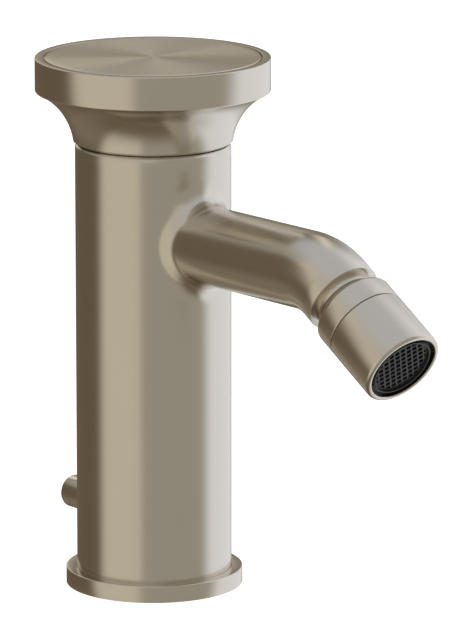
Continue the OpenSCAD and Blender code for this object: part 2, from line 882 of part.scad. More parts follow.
// Rubber ring that grips the top plate
module plate_o_ring() {
    color(rubber) o_ring(hub_seat_r - plate_ring_minor - seal_slack, plate_ring_minor, plate_ring_z);
}

// Plastic lining of the slot
module slot_liner() {
    color(plastic) difference() {
        intersection() {
            slot_cut(slot_r - fit, column_r + overrun);
            ring(column_r - liner_in, cavity_r, 0, block_bottom);
        }
        slot_cut(liner_r, column_r + 2 * overrun);
    }
}

// Bush that guides the top of the lift rod
module rod_guide() {
    color(white_plastic) translate([0, rod_back, 0]) difference() {
        union() {
            rod(guide_r + guide_wall, guide_bottom, guide_top - fit);
            rod(guide_r + guide_wall + guide_flange_w, block_bottom - guide_flange_t, block_bottom);
        }
        rod(guide_r, guide_bottom - overrun, guide_top + overrun);
    }
}

// Upright lift rod with a thread in its lower end
module lift_rod() {
    color(steel) translate([0, rod_back, 0]) difference() {
        rod(rod_r, rod_bottom, rod_top);
        rod(rod_thread_r, rod_bottom - overrun, rod_bottom + rod_thread_deep);
        translate([0, -rod_r - grub_seat, knob_z]) rotate([-90, 0, 0]) rod(grub_r + gap, -overrun, 2 * grub_seat);
    }
}

// Block that joins the rod and the knob's stem
module rod_clamp() {
    color(brass) difference() {
        translate([-clamp_w / 2, clamp_front, knob_z - clamp_h / 2])
            cube([clamp_w, clamp_back - clamp_front, clamp_h]);
        translate([0, rod_back, 0]) rod(rod_r + fit, 0, knob_z + clamp_h);
        along_knob(knob_z) rod(grub_r + fit, clamp_front - overrun, rod_back);
        along_knob(knob_z) rod(stub_r - stub_step + fit, rod_back, clamp_back + overrun);
    }
}

// Grub screw in the clamp
module clamp_screw() {
    color(steel) along_knob(knob_z) difference() {
        rod(grub_r, clamp_front + grub_in, rod_back - rod_r);
        translate([0, 0, clamp_front - overrun]) cylinder(r = grub_socket_r, h = 2 * overrun, $fn = 6);
    }
}

// Stem through the slot, threaded into the clamp and the knob
module knob_stem() {
    color(steel) along_knob(knob_z) {
        rod(stub_r - stub_step, rod_back + rod_r + 2 * fit, clamp_back + weld);
        rod(knob_stem_r, clamp_back, knob_start);
        rod(stub_r, knob_start - weld, knob_start + stub_l);
    }
}

// Round knob behind the column
module lift_knob() {
    color(nickel) along_knob(knob_z) difference() {
        rotate_extrude() polygon(concat(
            [[0, knob_start], [knob_r - knob_break, knob_start], [knob_r, knob_start + knob_break]],
            arc_points([knob_r - knob_round, knob_reach - knob_round], knob_round, 0, 90, 5),
            [[0, knob_reach]]));
        rod(stub_r + fit, knob_start - overrun, knob_start + stub_l + stub_spare);
    }
}

column();
foot_ring();
foot_gasket();
spout();
ball_nipple();
nipple_o_ring();
ball_seat_ring();
swivel_collar();
ball_seal();
outlet_shell();
flow_regulator();
aerator_washer();
aerator_body();
aerator_jet_plate();
aerator_grid();
cartridge_base();
port_seals();
fixed_disc();
disc_seal();
cartridge_housing();
housing_o_ring();
moving_disc();
disc_carrier();
cartridge_stem();
stem_o_rings();
cartridge_nut();
glide_ring();
handle_hub();
stem_adapter();
handle_screw();
top_plate();
plate_o_ring();
slot_liner();
rod_guide();
lift_rod();
rod_clamp();
clamp_screw();
knob_stem();
lift_knob();
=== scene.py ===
import json
import math

import bpy
import bmesh
from mathutils import Matrix, Vector
from mathutils.geometry import tessellate_polygon


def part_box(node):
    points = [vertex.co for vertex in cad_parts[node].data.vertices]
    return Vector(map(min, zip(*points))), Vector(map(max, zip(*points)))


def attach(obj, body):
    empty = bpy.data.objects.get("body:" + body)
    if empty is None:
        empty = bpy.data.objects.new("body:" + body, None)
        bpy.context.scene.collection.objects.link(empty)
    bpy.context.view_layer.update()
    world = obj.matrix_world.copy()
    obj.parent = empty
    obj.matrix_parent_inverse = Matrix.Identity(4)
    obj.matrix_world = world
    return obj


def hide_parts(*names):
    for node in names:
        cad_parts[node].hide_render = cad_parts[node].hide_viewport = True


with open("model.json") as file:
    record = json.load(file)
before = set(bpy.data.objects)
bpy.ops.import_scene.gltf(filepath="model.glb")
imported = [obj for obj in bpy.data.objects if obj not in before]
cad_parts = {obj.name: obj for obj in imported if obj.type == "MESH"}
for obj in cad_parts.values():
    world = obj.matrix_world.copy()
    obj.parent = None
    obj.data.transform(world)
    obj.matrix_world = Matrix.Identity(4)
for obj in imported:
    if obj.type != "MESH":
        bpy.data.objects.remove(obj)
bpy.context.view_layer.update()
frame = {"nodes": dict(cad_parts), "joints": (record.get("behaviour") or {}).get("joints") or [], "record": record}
mm = 0.001
speck = 1e-6
nodes = frame["nodes"]
slotOfNode = {part["node"]: part["material_slot"] for part in frame["record"]["subparts"]}
print("frame loaded:", len(nodes), "nodes")


def halfWidth(node):
    low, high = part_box(node)
    return (high[0] - low[0]) / 2 / mm


def lowest(node):
    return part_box(node)[0][2] / mm


def highest(node):
    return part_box(node)[1][2] / mm


cameraView = {
    "place": (-1.0657, -1.3192, 0.4569),
    "tiltDown": 12.604,  # degrees below the horizontal
    "heading": -39.751,
    "lens": 338.19,
    "sensor": 36.0,
    "near": 0.05,
    "far": 50,
}


def placeCamera(view):
    data = bpy.data.cameras.new("productCamera")
    data.lens = view["lens"]
    data.sensor_width = view["sensor"]
    data.clip_start = view["near"]
    data.clip_end = view["far"]
    camera = bpy.data.objects.new("productCamera", data)
    camera.location = view["place"]
    camera.rotation_euler = (math.radians(90 - view["tiltDown"]), 0, math.radians(view["heading"]))
    bpy.context.scene.collection.objects.link(camera)
    bpy.context.scene.camera = camera


placeCamera(cameraView)
bpy.context.scene.view_settings.view_transform = "Standard"
print("camera placed")


def mathNode(tree, operation, *values):
    node = tree.nodes.new("ShaderNodeMath")
    node.operation = operation
    for socket, value in zip(node.inputs, values):
        if isinstance(value, (int, float)):
            socket.default_value = value
        else:
            tree.links.new(value, socket)
    return node.outputs[0]


def mixColours(tree, factor):
    # returns the two colour inputs and the colour output of a new mix node
    mix = tree.nodes.new("ShaderNodeMix")
    mix.data_type = "RGBA"
    tree.links.new(factor, mix.inputs["Factor"])
    under, over = [socket for socket in mix.inputs if socket.type == "RGBA"]
    mixed = next(socket for socket in mix.outputs if socket.type == "RGBA")
    return under, over, mixed


studio = {
    "middle": (0.414, 0.393, 0.339),  # the light from every side that no panel covers
    "seen": (1.0, 1.0, 1.0),  # what the camera sees past the floor
    # Soft panels, each laid over the ones before it, in degrees. A panel stands at the azimuth
    # "facing", reaches "half" to either side and from elevation "low" to "high", and its edges
    # fade over "side" and "end". One without "facing" goes all the way round.
    "panels": [
        {"facing": 177, "half": 35, "side": 12, "low": -58, "high": 81, "end": 15,
         "colour": (0.701, 0.653, 0.549)},
        {"facing": -162, "half": 40, "side": 25, "low": 11, "high": 55, "end": 10,
         "colour": (0.616, 0.592, 0.534)},
        {"facing": 95, "half": 51, "side": 23, "low": -120, "high": 27, "end": 15,
         "colour": (0.160, 0.124, 0.083)},
        {"facing": 106, "half": 31, "side": 27, "low": -60, "high": -22, "end": 17,
         "colour": (0.251, 0.205, 0.151)},
        {"low": -120, "high": -55, "end": 42, "colour": (0.181, 0.140, 0.094)},
        {"low": 45, "high": 120, "end": 40, "colour": (0.616, 0.627, 0.670)},
        {"facing": -6, "half": 39, "side": 27, "low": -64, "high": 60, "end": 45,
         "colour": (0.959, 0.983, 1.043)},
        {"facing": 52, "half": 26, "side": 40, "low": 24, "high": 45, "end": 40,
         "colour": (0.06, 0.05, 0.045)},
        {"facing": 45, "half": 5, "side": 19, "low": 31, "high": 63, "end": 8,
         "colour": (1.1, 1.04, 0.88)},
        {"facing": 69, "half": 5, "side": 8, "low": 4, "high": 38, "end": 8,
         "colour": (1.7, 1.6, 1.55)},
        {"facing": 68, "half": 16, "side": 16, "low": 9, "high": 27, "end": 8,
         "colour": (0.69, 0.655, 0.554)},
    ],
}


def fade(tree, value, closed, opened):
    # 0 at the first angle, 1 at the second
    node = tree.nodes.new("ShaderNodeMapRange")
    node.interpolation_type = "SMOOTHSTEP"
    node.inputs["From Min"].default_value = math.radians(closed)
    node.inputs["From Max"].default_value = math.radians(opened)
    tree.links.new(value, node.inputs["Value"])
    return node.outputs[0]


def panelMask(tree, panel, azimuth, elevation):
    soft = panel["end"] / 2
    above = fade(tree, elevation, panel["low"] - soft, panel["low"] + soft)
    below = fade(tree, elevation, panel["high"] + soft, panel["high"] - soft)
    mask = mathNode(tree, "MULTIPLY", above, below)
    if "facing" not in panel:
        return mask
    turn = mathNode(tree, "SUBTRACT", azimuth, math.radians(panel["facing"]))
    away = mathNode(tree, "ABSOLUTE", mathNode(tree, "WRAP", turn, math.pi, -math.pi))
    soft = panel["side"] / 2
    beside = fade(tree, away, panel["half"] + soft, panel["half"] - soft)
    return mathNode(tree, "MULTIPLY", mask, beside)


def lightStudio(look):
    world = bpy.data.worlds.new("studio")
    bpy.context.scene.world = world
    world.use_nodes = True
    tree = world.node_tree
    tree.nodes.clear()
    new = tree.nodes.new
    link = tree.links.new
    direction = new("ShaderNodeTexCoord")
    axes = new("ShaderNodeSeparateXYZ")
    link(direction.outputs["Generated"], axes.inputs[0])
    azimuth = mathNode(tree, "ARCTAN2", axes.outputs["Y"], axes.outputs["X"])
    elevation = mathNode(tree, "ARCSINE", axes.outputs["Z"])
    colour = new("ShaderNodeRGB").outputs[0]
    colour.default_value = (*look["middle"], 1)
    for panel in look["panels"]:
        under, over, mixed = mixColours(tree, panelMask(tree, panel, azimuth, elevation))
        over.default_value = (*panel["colour"], 1)
        link(colour, under)
        colour = mixed
    light = new("ShaderNodeBackground")
    link(colour, light.inputs["Color"])
    seen = new("ShaderNodeBackground")
    seen.inputs["Color"].default_value = (*look["seen"], 1)
    ray = new("ShaderNodeLightPath")
    choose = new("ShaderNodeMixShader")
    link(ray.outputs["Is Camera Ray"], choose.inputs["Fac"])
    link(light.outputs[0], choose.inputs[1])
    link(seen.outputs[0], choose.inputs[2])
    out = new("ShaderNodeOutputWorld")
    link(choose.outputs[0], out.inputs["Surface"])


lightStudio(studio)

floorLook = {"size": 6.0, "tone": (0.9, 0.9, 0.9), "roughness": 0.8, "glow": 0.75}


def layFloor(look):
    mesh = bpy.data.meshes.new("studioFloor")
    edge = look["size"] / 2
    corners = [(-edge, -edge, 0), (edge, -edge, 0), (edge, edge, 0), (-edge, edge, 0)]
    mesh.from_pydata(corners, [], [(0, 1, 2, 3)])
    floor = bpy.data.objects.new("studioFloor", mesh)
    bpy.context.scene.collection.objects.link(floor)
    material = bpy.data.materials.new("paleFloor")
    material.use_nodes = True
    shader = material.node_tree.nodes["Principled BSDF"]
    shader.inputs["Base Color"].default_value = (*look["tone"], 1)
    shader.inputs["Roughness"].default_value = look["roughness"]
    shader.inputs["Emission Color"].default_value = (1, 1, 1, 1)
    shader.inputs["Emission Strength"].default_value = look["glow"]
    mesh.materials.append(material)
    floor.visible_glossy = False


layFloor(floorLook)
print("studio lit")

pattern = {
    "grainDetail": 3.0, "patchDetail": 2.0,
    "maskLow": 0.3, "maskHigh": 0.7,  # the stretch of a noise mask that carries the tones
}


def newGroup(name, inputs, outputs):
    group = bpy.data.node_groups.new(name, "ShaderNodeTree")
    for label, kind, value in inputs:
        socket = group.interface.new_socket(name=label, in_out="INPUT", socket_type=kind)
        if value is not None:
            socket.default_value = value
    for label, kind in outputs:
        group.interface.new_socket(name=label, in_out="OUTPUT", socket_type=kind)
    return group, group.nodes.new("NodeGroupInput"), group.nodes.new("NodeGroupOutput")


def makeTurnedGrain():
    # long thin streaks round the piece's own Z axis; Lines and Streaks are per metre
    group, given, result = newGroup(
        "turnedGrain",
        [("Lines", "NodeSocketFloat", 5200.0), ("Streaks", "NodeSocketFloat", 60.0)],
        [("Mask", "NodeSocketFloat")],
    )
    place = group.nodes.new("ShaderNodeTexCoord")
    axes = group.nodes.new("ShaderNodeSeparateXYZ")
    group.links.new(place.outputs["Object"], axes.inputs[0])
    x, y, z = axes.outputs["X"], axes.outputs["Y"], axes.outputs["Z"]
    square = mathNode(group, "ADD", mathNode(group, "MULTIPLY", x, x), mathNode(group, "MULTIPLY", y, y))
    across = mathNode(group, "ADD", mathNode(group, "SQRT", square), z)
    vector = group.nodes.new("ShaderNodeCombineXYZ")
    for label, value, scale in (("X", x, "Streaks"), ("Y", y, "Streaks"), ("Z", across, "Lines")):
        scaled = mathNode(group, "MULTIPLY", value, given.outputs[scale])
        group.links.new(scaled, vector.inputs[label])
    noise = group.nodes.new("ShaderNodeTexNoise")
    noise.inputs["Scale"].default_value = 1.0
    noise.inputs["Detail"].default_value = pattern["grainDetail"]
    group.links.new(vector.outputs[0], noise.inputs["Vector"])
    group.links.new(noise.outputs["Fac"], result.inputs["Mask"])
    return group


def makeHandling():
    # broad soft patches where a finish is a little duller
    group, given, result = newGroup(
        "handledPatches",
        [("Size", "NodeSocketFloat", 45.0)],
        [("Mask", "NodeSocketFloat")],
    )
    place = group.nodes.new("ShaderNodeTexCoord")
    noise = group.nodes.new("ShaderNodeTexNoise")
    noise.inputs["Detail"].default_value = pattern["patchDetail"]
    group.links.new(place.outputs["Object"], noise.inputs["Vector"])
    group.links.new(given.outputs["Size"], noise.inputs["Scale"])
    group.links.new(noise.outputs["Fac"], result.inputs["Mask"])
    return group


def makeShading():
    # spreads a mask over a tone range and a roughness range
    group, given, result = newGroup(
        "toneRange",
        [("Mask", "NodeSocketFloat", 0.5),
         ("Dark", "NodeSocketColor", (0.5, 0.5, 0.5, 1)), ("Light", "NodeSocketColor", (0.6, 0.6, 0.6, 1)),
         ("Smooth", "NodeSocketFloat", 0.2), ("Rough", "NodeSocketFloat", 0.3)],
        [("Color", "NodeSocketColor"), ("Roughness", "NodeSocketFloat")],
    )
    spread = group.nodes.new("ShaderNodeMapRange")
    spread.inputs["From Min"].default_value = pattern["maskLow"]
    spread.inputs["From Max"].default_value = pattern["maskHigh"]
    group.links.new(given.outputs["Mask"], spread.inputs["Value"])
    dark, light, mixed = mixColours(group, spread.outputs[0])
    group.links.new(given.outputs["Dark"], dark)
    group.links.new(given.outputs["Light"], light)
    group.links.new(mixed, result.inputs["Color"])
    rough = group.nodes.new("ShaderNodeMapRange")
    group.links.new(spread.outputs[0], rough.inputs["Value"])
    group.links.new(given.outputs["Smooth"], rough.inputs["To Min"])
    group.links.new(given.outputs["Rough"], rough.inputs["To Max"])
    group.links.new(rough.outputs[0], result.inputs["Roughness"])
    return group


turnedGrain = makeTurnedGrain()
handledPatches = makeHandling()
toneRange = makeShading()


def placeGroup(tree, group, **values):
    node = tree.nodes.new("ShaderNodeGroup")
    node.node_tree = group
    for label, value in values.items():
        socket = node.inputs[label]
        if isinstance(value, bpy.types.NodeSocket):
            tree.links.new(value, socket)
        else:
            socket.default_value = value
    return node


def startMaterial(name):
    material = bpy.data.materials.new(name)
    material.use_nodes = True
    tree = material.node_tree
    return material, tree, tree.nodes["Principled BSDF"]


def applyTones(tree, shader, mask, look):
    tones = placeGroup(tree, toneRange, Mask=mask, Dark=(*look["dark"], 1), Light=(*look["light"], 1),
                       Smooth=look["smooth"], Rough=look["rough"])
    tree.links.new(tones.outputs["Color"], shader.inputs["Base Color"])
    tree.links.new(tones.outputs["Roughness"], shader.inputs["Roughness"])


def applyBump(tree, shader, mask, look):
    bump = tree.nodes.new("ShaderNodeBump")
    bump.inputs["Strength"].default_value = look["bump"]
    bump.inputs["Distance"].default_value = look["bumpDepth"]
    tree.links.new(mask, bump.inputs["Height"])
    tree.links.new(bump.outputs["Normal"], shader.inputs["Normal"])


def metalMaterial(name, look):
    material, tree, shader = startMaterial(name)
    grain = placeGroup(tree, turnedGrain, Lines=look["lines"], Streaks=look["streaks"])
    patches = placeGroup(tree, handledPatches, Size=look["patches"])
    mask = mathNode(tree, "ADD", mathNode(tree, "MULTIPLY", grain.outputs["Mask"], look["grainShare"]),
                    mathNode(tree, "MULTIPLY", patches.outputs["Mask"], 1 - look["grainShare"]))
    applyTones(tree, shader, mask, look)
    applyBump(tree, shader, grain.outputs["Mask"], look)
    shader.inputs["Metallic"].default_value = 1.0
    if look["anisotropic"]:
        shader.inputs["Anisotropic"].default_value = look["anisotropic"]
        shader.inputs["Anisotropic Rotation"].default_value = look["highlightTurn"]
        tangent = tree.nodes.new("ShaderNodeTangent")
        tangent.direction_type = "RADIAL"
        tangent.axis = "Z"
        tree.links.new(tangent.outputs[0], shader.inputs["Tangent"])
    return material


nickelLook = {
    "dark": (0.65, 0.605, 0.53), "light": (0.67, 0.625, 0.55), "smooth": 0.20, "rough": 0.23,
    "lines": 9000.0, "streaks": 60.0, "patches": 45.0, "grainShare": 0.6,
    "bump": 0.02, "bumpDepth": 0.00001, "anisotropic": 0.0,
    "highlightTurn": 0.25,  # a quarter turn, so that a highlight lies across the turned grooves
}
# The top plate's spun nickel. Its grain, roughness and anisotropy are the finish's own. Its base colour is lighter
# than the body's nickel: painted light on the plate.
spunNickelPaintedLightLook = dict(nickelLook, dark=(0.81, 0.755, 0.66), light=(0.83, 0.775, 0.68), smooth=0.25,
                      rough=0.27, lines=2600.0, streaks=30.0, grainShare=0.85, anisotropic=0.9)
brassLook = dict(nickelLook, dark=(0.66, 0.50, 0.24), light=(0.76, 0.60, 0.32), smooth=0.28,
                 rough=0.40, bump=0.12)
steelLook = dict(nickelLook, dark=(0.50, 0.50, 0.49), light=(0.62, 0.62, 0.60), smooth=0.26,
                 rough=0.36, bump=0.12)


def mouldedMaterial(name, look):
    material, tree, shader = startMaterial(name)
    patches = placeGroup(tree, handledPatches, Size=look["patches"])
    applyTones(tree, shader, patches.outputs["Mask"], look)
    shader.inputs["Specular IOR Level"].default_value = look["shine"]
    pores = placeGroup(tree, handledPatches, Size=look["pores"])
    applyBump(tree, shader, pores.outputs["Mask"], look)
    return material


blackLook = {
    "dark": (0.010, 0.010, 0.009), "light": (0.016, 0.016, 0.015), "smooth": 0.30, "rough": 0.42,
    "patches": 200.0, "pores": 4000.0, "bump": 0.1, "bumpDepth": 0.00004, "shine": 0.35,
}
whiteLook = dict(blackLook, dark=(0.70, 0.69, 0.65), light=(0.78, 0.77, 0.74), smooth=0.35,
                 rough=0.5, shine=0.5)
rubberLook = dict(blackLook, dark=(0.012, 0.012, 0.012), light=(0.03, 0.03, 0.03), smooth=0.55,
                  rough=0.8, patches=150.0, pores=5000.0, bump=0.3, shine=0.5)
ceramicLook = dict(blackLook, dark=(0.76, 0.74, 0.70), light=(0.82, 0.80, 0.76), smooth=0.12,
                   rough=0.2, patches=300.0, pores=6000.0, bump=0.05, shine=0.5)

nickel = metalMaterial("brushedNickel", nickelLook)
spunNickelPaintedLight = metalMaterial("spunNickelPaintedLight", spunNickelPaintedLightLook)
materialOfSlot = {
    "nickel": nickel,
    "brass": metalMaterial("machinedBrass", brassLook),
    "steel": metalMaterial("plainSteel", steelLook),
    "rubber": mouldedMaterial("sealRubber", rubberLook),
    "black_plastic": mouldedMaterial("blackAcetal", blackLook),
    "white_plastic": mouldedMaterial("paleAcetal", whiteLook),
    "ceramic": mouldedMaterial("lappedCeramic", ceramicLook),
}
for name, obj in nodes.items():
    obj.data.materials.clear()
    obj.data.materials.append(materialOfSlot[slotOfNode[name]])
print("materials made")

meshing = {"weld": 0.002, "sliver": 0.0005, "sharp": 32.0}  # mm, mm and degrees


def meshPiece(name, points, faces, material, body, replaced, place=None, sharp=meshing["sharp"]):
    mesh = bpy.data.meshes.new(name)
    mesh.from_pydata([tuple(c * mm for c in p) for p in points], [], faces)
    tidy = bmesh.new()
    tidy.from_mesh(mesh)
    bmesh.ops.remove_doubles(tidy, verts=tidy.verts, dist=meshing["weld"] * mm)
    bmesh.ops.dissolve_degenerate(tidy, edges=tidy.edges, dist=meshing["sliver"] * mm)
    bmesh.ops.recalc_face_normals(tidy, faces=tidy.faces)
    tidy.to_mesh(mesh)
    tidy.free()
    mesh.shade_smooth()
    mesh.set_sharp_from_angle(angle=math.radians(sharp))
    mesh.materials.append(material)
    piece = bpy.data.objects.new(name, mesh)
    if place is not None:
        piece.matrix_world = place
    bpy.context.scene.collection.objects.link(piece)
    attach(piece, body)
    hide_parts(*replaced)
    return piece


def blend(u, v, t):
    # part of the way along the arc from one arm to the other
    sweep = u.angle(v)
    return (u * math.sin((1 - t) * sweep) + v * math.sin(t * sweep)) / math.sin(sweep)


def rounded(corners, steps=4):
    # corners are (radius, height, rounding); each rounded corner becomes a short arc
    outline = []
    count = len(corners)
    for i, (x, y, size) in enumerate(corners):
        here = Vector((x, y))
        if size <= 0:
            outline.append(here)
            continue
        back = (Vector(corners[i - 1][:2]) - here).normalized()
        ahead = (Vector(corners[(i + 1) % count][:2]) - here).normalized()
        half = back.angle(ahead) / 2
        away = size / math.tan(half)
        centre = here + (back + ahead).normalized() * (size / math.sin(half))
        first = here + back * away - centre
        last = here + ahead * away - centre
        outline += [centre + blend(first, last, k / steps) for k in range(steps + 1)]
    return [(p[0], p[1]) for p in outline]


def sphereArc(radius, centre, start, stop, steps=12):
    # (radius, height) points on a ball, between two heights
    low, high = math.acos((start - centre) / radius), math.acos((stop - centre) / radius)
    angles = [low + (high - low) * k / steps for k in range(steps + 1)]
    return [(radius * math.sin(a), centre + radius * math.cos(a)) for a in angles]


def circle(radius, height, count):
    turns = [math.tau * k / count for k in range(count)]
    return [(radius * math.cos(a), radius * math.sin(a), height) for a in turns]


def turned(outline, around=192):
    # revolves a closed outline of (radius, height) points round Z; it may touch the axis
    points, faces, rings = [], [], []
    for radius, height in outline:
        ring = circle(radius, height, 1 if radius < speck else around)
        rings.append(range(len(points), len(points) + len(ring)))
        points += ring
    for low, high in zip(rings, rings[1:] + rings[:1]):
        if len(low) == 1 and len(high) == 1:
            continue
        for k in range(around):
            n = (k + 1) % around
            face = [low[k % len(low)], low[n % len(low)], high[n % len(high)], high[k % len(high)]]
            faces.append(list(dict.fromkeys(face)))
    return points, faces


# In the pieces' values from here on, lengths are in millimetres and angles in degrees.
handle = {
    "neckRadius": 22.8, "neckChamfer": 0.85, "chamferSlope": 0.9,
    "flareRadius": 19.1, "flareSink": 2.0, "flareSteps": 40,
    "lowerRounding": 0.5, "turnInFrom": -60, "turnInSteps": 4,
    "upperRounding": 0.28, "recessRounding": 0.12, "seatDepth": 1.6, "gap": 0.5,
    "ringRoom": 29.5, "ringRoomDepth": 2.4, "cavity": 27.0, "cavityDepth": 8.0,
    "screwHole": 2.2, "web": 1.0, "socket": 7.5, "boss": 10.0, "hollow": 19.0, "hollowHeight": 9.0,
    "sharp": 24,
}


def flarePoints(look, low, edge):
    # the hollow curve from the neck's chamfer out to the disc's lower edge
    radius, steps = look["flareRadius"], look["flareSteps"]
    middle, height = look["neckRadius"] + radius, low - look["flareSink"]
    start = math.pi - math.asin((low + look["neckChamfer"] * look["chamferSlope"] - height) / radius)
    stop = math.pi - math.acos((middle - edge + look["lowerRounding"]) / radius)
    angles = [start + (stop - start) * k / steps for k in range(steps + 1)]
    return [(middle + radius * math.cos(a), height + radius * math.sin(a)) for a in angles]


def handleInside(look, low, top):
    # from the plate's seat down through the casting to its lower end
    seat, floor = top - look["seatDepth"], top - look["cavityDepth"]
    room, roof = seat - look["ringRoomDepth"], low + look["hollowHeight"]
    return [(look["ringRoom"], seat), (look["ringRoom"], room), (look["cavity"], room),
            (look["cavity"], floor), (look["screwHole"], floor), (look["screwHole"], floor - look["web"]),
            (look["socket"], floor - look["web"]), (look["socket"], low), (look["boss"], low),
            (look["boss"], roof), (look["hollow"], roof), (look["hollow"], low)]


def buildHandle(look):
    low, top, edge = lowest("handle_hub"), highest("handle_hub"), halfWidth("handle_hub")
    recess, seat = halfWidth("top_plate") + look["gap"], top - look["seatDepth"]
    flare = flarePoints(look, low, edge)
    lip, count = look["lowerRounding"], look["turnInSteps"]
    angles = [math.radians(look["turnInFrom"] * (1 - k / count)) for k in range(count + 1)]
    turnIn = [(edge - lip + lip * math.cos(a), flare[-1][1] + lip + lip * math.sin(a)) for a in angles]
    rim = rounded([(edge, seat, 0), (edge, top, look["upperRounding"]), (recess, top, look["recessRounding"]),
                   (recess, seat, 0)])[1:]
    neck = [(look["neckRadius"] - look["neckChamfer"], low)]
    points, faces = turned(neck + flare + turnIn + rim + handleInside(look, low, top))
    return meshPiece("handleCasting", points, faces, nickel, "handle", ["handle_hub"], sharp=look["sharp"])


topPlate = {
    "thickness": handle["seatDepth"], "rounding": 0.2, "rings": 12,
    "skirtBore": 26.0, "skirt": 28.6, "sharp": 24,
}


def buildPlate(look):
    low, top, edge = lowest("top_plate"), highest("top_plate"), halfWidth("top_plate")
    under = top - look["thickness"]
    outline = rounded([(edge, under, 0), (edge, top, look["rounding"]), (0, top, 0)])[:-1]
    outline += [(edge * k / look["rings"], top) for k in range(look["rings"] - 1, -1, -1)]
    outline += [(0, under), (look["skirtBore"], under), (look["skirtBore"], low),
                (look["skirt"], low), (look["skirt"], under)]
    points, faces = turned(outline)
    return meshPiece("handlePlate", points, faces, spunNickelPaintedLight, "handle", ["top_plate"], sharp=look["sharp"])


buildHandle(handle)
buildPlate(topPlate)
print("handle built")

foot = {
    "rounding": 0.3, "lowerRounding": 0.15, "boreRounding": 0.1, "play": 0.05,
    "lip": 1.8, "lipWidth": 3.0, "grooveDepth": 1.0, "grooveWidth": 3.4,
}


def buildFoot(look):
    edge, top, column = halfWidth("foot_ring"), highest("foot_ring"), halfWidth("column")
    bore, lipEdge = column + look["play"], column - look["lipWidth"]
    groove = halfWidth("foot_gasket") + look["play"]
    grooveIn = groove - look["grooveWidth"]
    outline = rounded([
        (edge, 0, look["lowerRounding"]), (edge, top, look["rounding"]), (bore, top, look["boreRounding"]),
        (bore, look["lip"], 0), (lipEdge, look["lip"], 0), (lipEdge, 0, 0),
        (grooveIn, 0, 0), (grooveIn, look["grooveDepth"], 0),
        (groove, look["grooveDepth"], 0), (groove, 0, 0),
    ])
    points, faces = turned(outline)
    return meshPiece("footRing", points, faces, nickel, "body", ["foot_ring"])


buildFoot(foot)
print("foot built")

outletTurn = next(joint for joint in frame["joints"] if joint["name"] == "outlet_yaw")
ballCentre = Vector(outletTurn["pos_m"]) / mm
spoutDrop = math.asin(-outletTurn["axis"][1])
outletAhead = Vector((0, -math.cos(spoutDrop), -math.sin(spoutDrop)))

# The cast body is one skin over column, fillet and spout. Two rectangles of its wall, the patches,
# are left out of the grid and filled towards the spout's fillet and the knob's slot.
castBody = {
    "around": 128, "wall": 3.0, "lip": 1.8, "lipChamfer": 0.2,
    "lowRow": 5.0, "rowsBetween": [54.0, 62.0, 72.0],  # heights of rows that no patch sets
    # the eased chamfer at the top, as (inward from the wall, up from the top)
    "topEdge": [(0.0, -0.8), (0.06, -0.68), (0.5, -0.08), (0.6, 0.0)],
    "tubeRadius": 11.2, "fillet": 7.0, "filletSteps": 14, "straightSteps": 12,
    "bendRadius": 22.4, "bendSteps": 28,
    # the spout's end, with "ballAt", "end" and "boreFrom" counted from the bend's corner
    "ballAt": 18.0, "end": 10.5, "endRounding": 0.25, "endEase": 0.3, "bore": 9.05, "boreFrom": 3.0,
    "spoutPatch": {"columns": 16, "reach": 22.0, "rows": 28, "steps": 7},
    "slotPatch": {"columns": 8, "low": 9.8, "high": 49.4, "rows": 20, "steps": 5},
    "slotHalf": 3.6, "slotLow": 19.6, "slotRise": 20.0,
    "ceiling": 68.0, "chamberFloor": 86.0, "chamber": 18.2, "nutThread": 19.0, "nutSeat": 120.0,
    "glideSeat": 20.6, "glideFloor": 128.8,
    # x, y, radius and top of the holes for the two hoses, the stud and the guide bush
    "holes": [(-8.5, -4.0, 4.5, 79.0), (8.5, -4.0, 4.5, 79.0),
              (0.0, 5.0, 3.4, 81.0), (0.0, 14.6, 3.53, 85.0)],
    "holeSteps": 48, "sharp": 28,
}
# where the axes of the spout's two legs meet
bendCorner = ballCentre - outletAhead * castBody["ballAt"]


def newSkin():
    return {"points": [], "faces": [], "index": {}}


def spot(skin, point):
    # the point's number in the skin; points that agree to four decimals are one
    key = tuple(round(c, 4) for c in point)
    if key not in skin["index"]:
        skin["index"][key] = len(skin["points"])
        skin["points"].append(tuple(point))
    return skin["index"][key]


def addFace(skin, corners):
    face = list(dict.fromkeys(spot(skin, c) for c in corners))
    if len(face) > 2:
        skin["faces"].append(face)


def joinRows(skin, rows):
    for first, second in zip(rows, rows[1:]):
        count = len(first)
        for k in range(count):
            n = (k + 1) % count
            addFace(skin, (first[k], first[n], second[n], second[k]))


def closeRow(skin, row, centre):
    for k, point in enumerate(row):
        addFace(skin, (point, row[(k + 1) % len(row)], centre))


def onWall(radius, angle, height):
    # the angle is counted from the spout's side
    return (radius * math.sin(angle), -radius * math.cos(angle), height)


def wallRing(look, radius, height):
    return [onWall(radius, math.tau * k / look["around"], height) for k in range(look["around"])]


def patchRows(patch):
    low, high, rows = patch["low"], patch["high"], patch["rows"]
    return [low + (high - low) * k / rows for k in range(rows + 1)]


def patchBorder(look, patch):
    # once round the rectangle, as (angle from its middle, height)
    side, heights = patch["columns"], patchRows(patch)
    step = math.tau / look["around"]
    border = [(k * step, heights[0]) for k in range(-side, side)]
    border += [(side * step, z) for z in heights[:-1]]
    border += [(k * step, heights[-1]) for k in range(side, -side, -1)]
    border += [(-side * step, z) for z in heights[:0:-1]]
    return border


def inPatch(look, column, height, middle, patch):
    # whether the grid's cell that starts at this column and height belongs to the patch
    half = look["around"] // 2
    away = (column - middle + half) % look["around"] - half
    beside = -patch["columns"] <= away < patch["columns"]
    return beside and patch["low"] - speck < height < patch["high"] - speck


